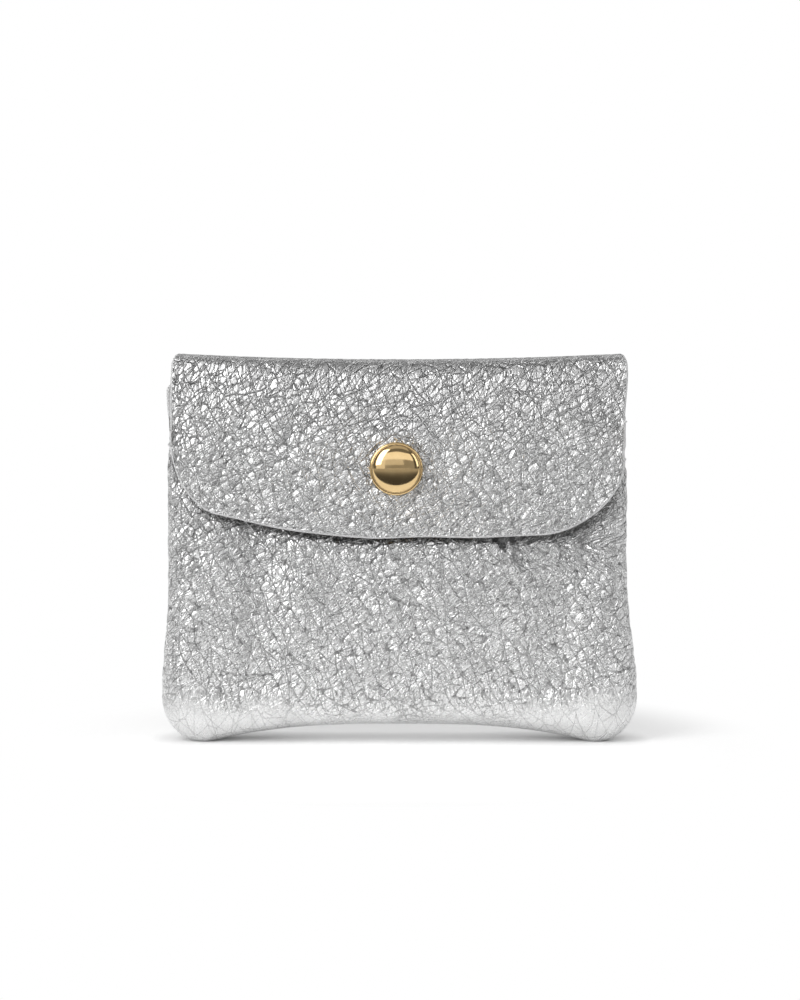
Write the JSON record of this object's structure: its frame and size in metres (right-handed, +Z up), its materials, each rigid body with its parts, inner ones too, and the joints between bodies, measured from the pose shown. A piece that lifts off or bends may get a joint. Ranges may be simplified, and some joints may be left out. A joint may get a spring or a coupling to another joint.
{
  "type": "flap coin purse",
  "caption": "Soft metallic leather flap purse with a domed press stud, folding side gussets and a zipped coin pocket between two open compartments.",
  "frame": {"origin": "bottom centre of the purse's box, on the surface that its two bottom corners stand on", "axes": "+X to the purse's right as seen from the front, +Y from the flap side to the back, +Z up"},
  "size_m": [0.1134, 0.0246, 0.0922],
  "materials": {
    "shell_leather": "pebbled metallic silver foil",
    "inner_leather": "soft suede flesh side",
    "gold_brass": "polished pale gold plate",
    "zip_tape": "woven tape",
    "thread": "twisted thread"
  },
  "bodies": {
    "root": {"back_panel": "shell_leather", "front_base": "shell_leather", "left_gusset": "shell_leather", "right_gusset": "shell_leather"},
    "fold": {"top_fold": "shell_leather"},
    "flap": {"flap": "shell_leather", "flap_reinforcement": "inner_leather", "snap_cap": "gold_brass", "snap_socket": "gold_brass", "socket_spring": "gold_brass"},
    "front": {"front_panel": "shell_leather", "snap_stud": "gold_brass", "stud_post": "gold_brass", "stud_reinforcement": "inner_leather"},
    "pocket": {"pocket_back_wall": "inner_leather", "pocket_front_wall": "inner_leather", "pocket_edge_strip": "inner_leather", "zip_tape_back": "zip_tape", "zip_tape_front": "zip_tape", "zip_teeth_back": "gold_brass", "zip_teeth_front": "gold_brass", "zip_top_stops": "gold_brass", "zip_bottom_stop": "gold_brass", "zip_stitching": "thread"},
    "slider": {"zip_slider": "gold_brass"},
    "puller": {"zip_puller": "gold_brass"}
  },
  "joints": [
    {"name": "flap_fold", "type": "hinge", "parent": "root", "child": "fold", "pos_m": [0, 0.00975, 0.09111], "axis": [-1, 0, 0], "range_deg": [0, 100]},
    {"name": "flap_bend", "type": "hinge", "parent": "fold", "child": "flap", "pos_m": [0, -0.00304, 0.09111], "axis": [-1, 0, 0], "range_deg": [0, 100]},
    {"name": "front_lean", "type": "hinge", "parent": "root", "child": "front", "pos_m": [0, -0.0079, 0.01315], "axis": [1, 0, 0], "range_deg": [0, 16]},
    {"name": "pocket_lean", "type": "hinge", "parent": "root", "child": "pocket", "pos_m": [0, 0.0009, 0.0062], "axis": [1, 0, 0], "range_deg": [0, 8]},
    {"name": "zip_travel", "type": "slide", "parent": "pocket", "child": "slider", "axis": [-1, 0, 0], "range_m": [0, 0.056]},
    {"name": "puller_swing", "type": "hinge", "parent": "slider", "child": "puller", "pos_m": [0.027, 0.0038, 0.07383], "axis": [0, 1, 0], "range_deg": [0, 180]}
  ],
  "couplings": [
    {"joint": "flap_bend", "follows": "flap_fold", "ratio": 1},
    {"joint": "front_lean", "follows": "flap_fold", "ratio": 0.15},
    {"joint": "pocket_lean", "follows": "flap_fold", "ratio": 0.07}
  ]
}
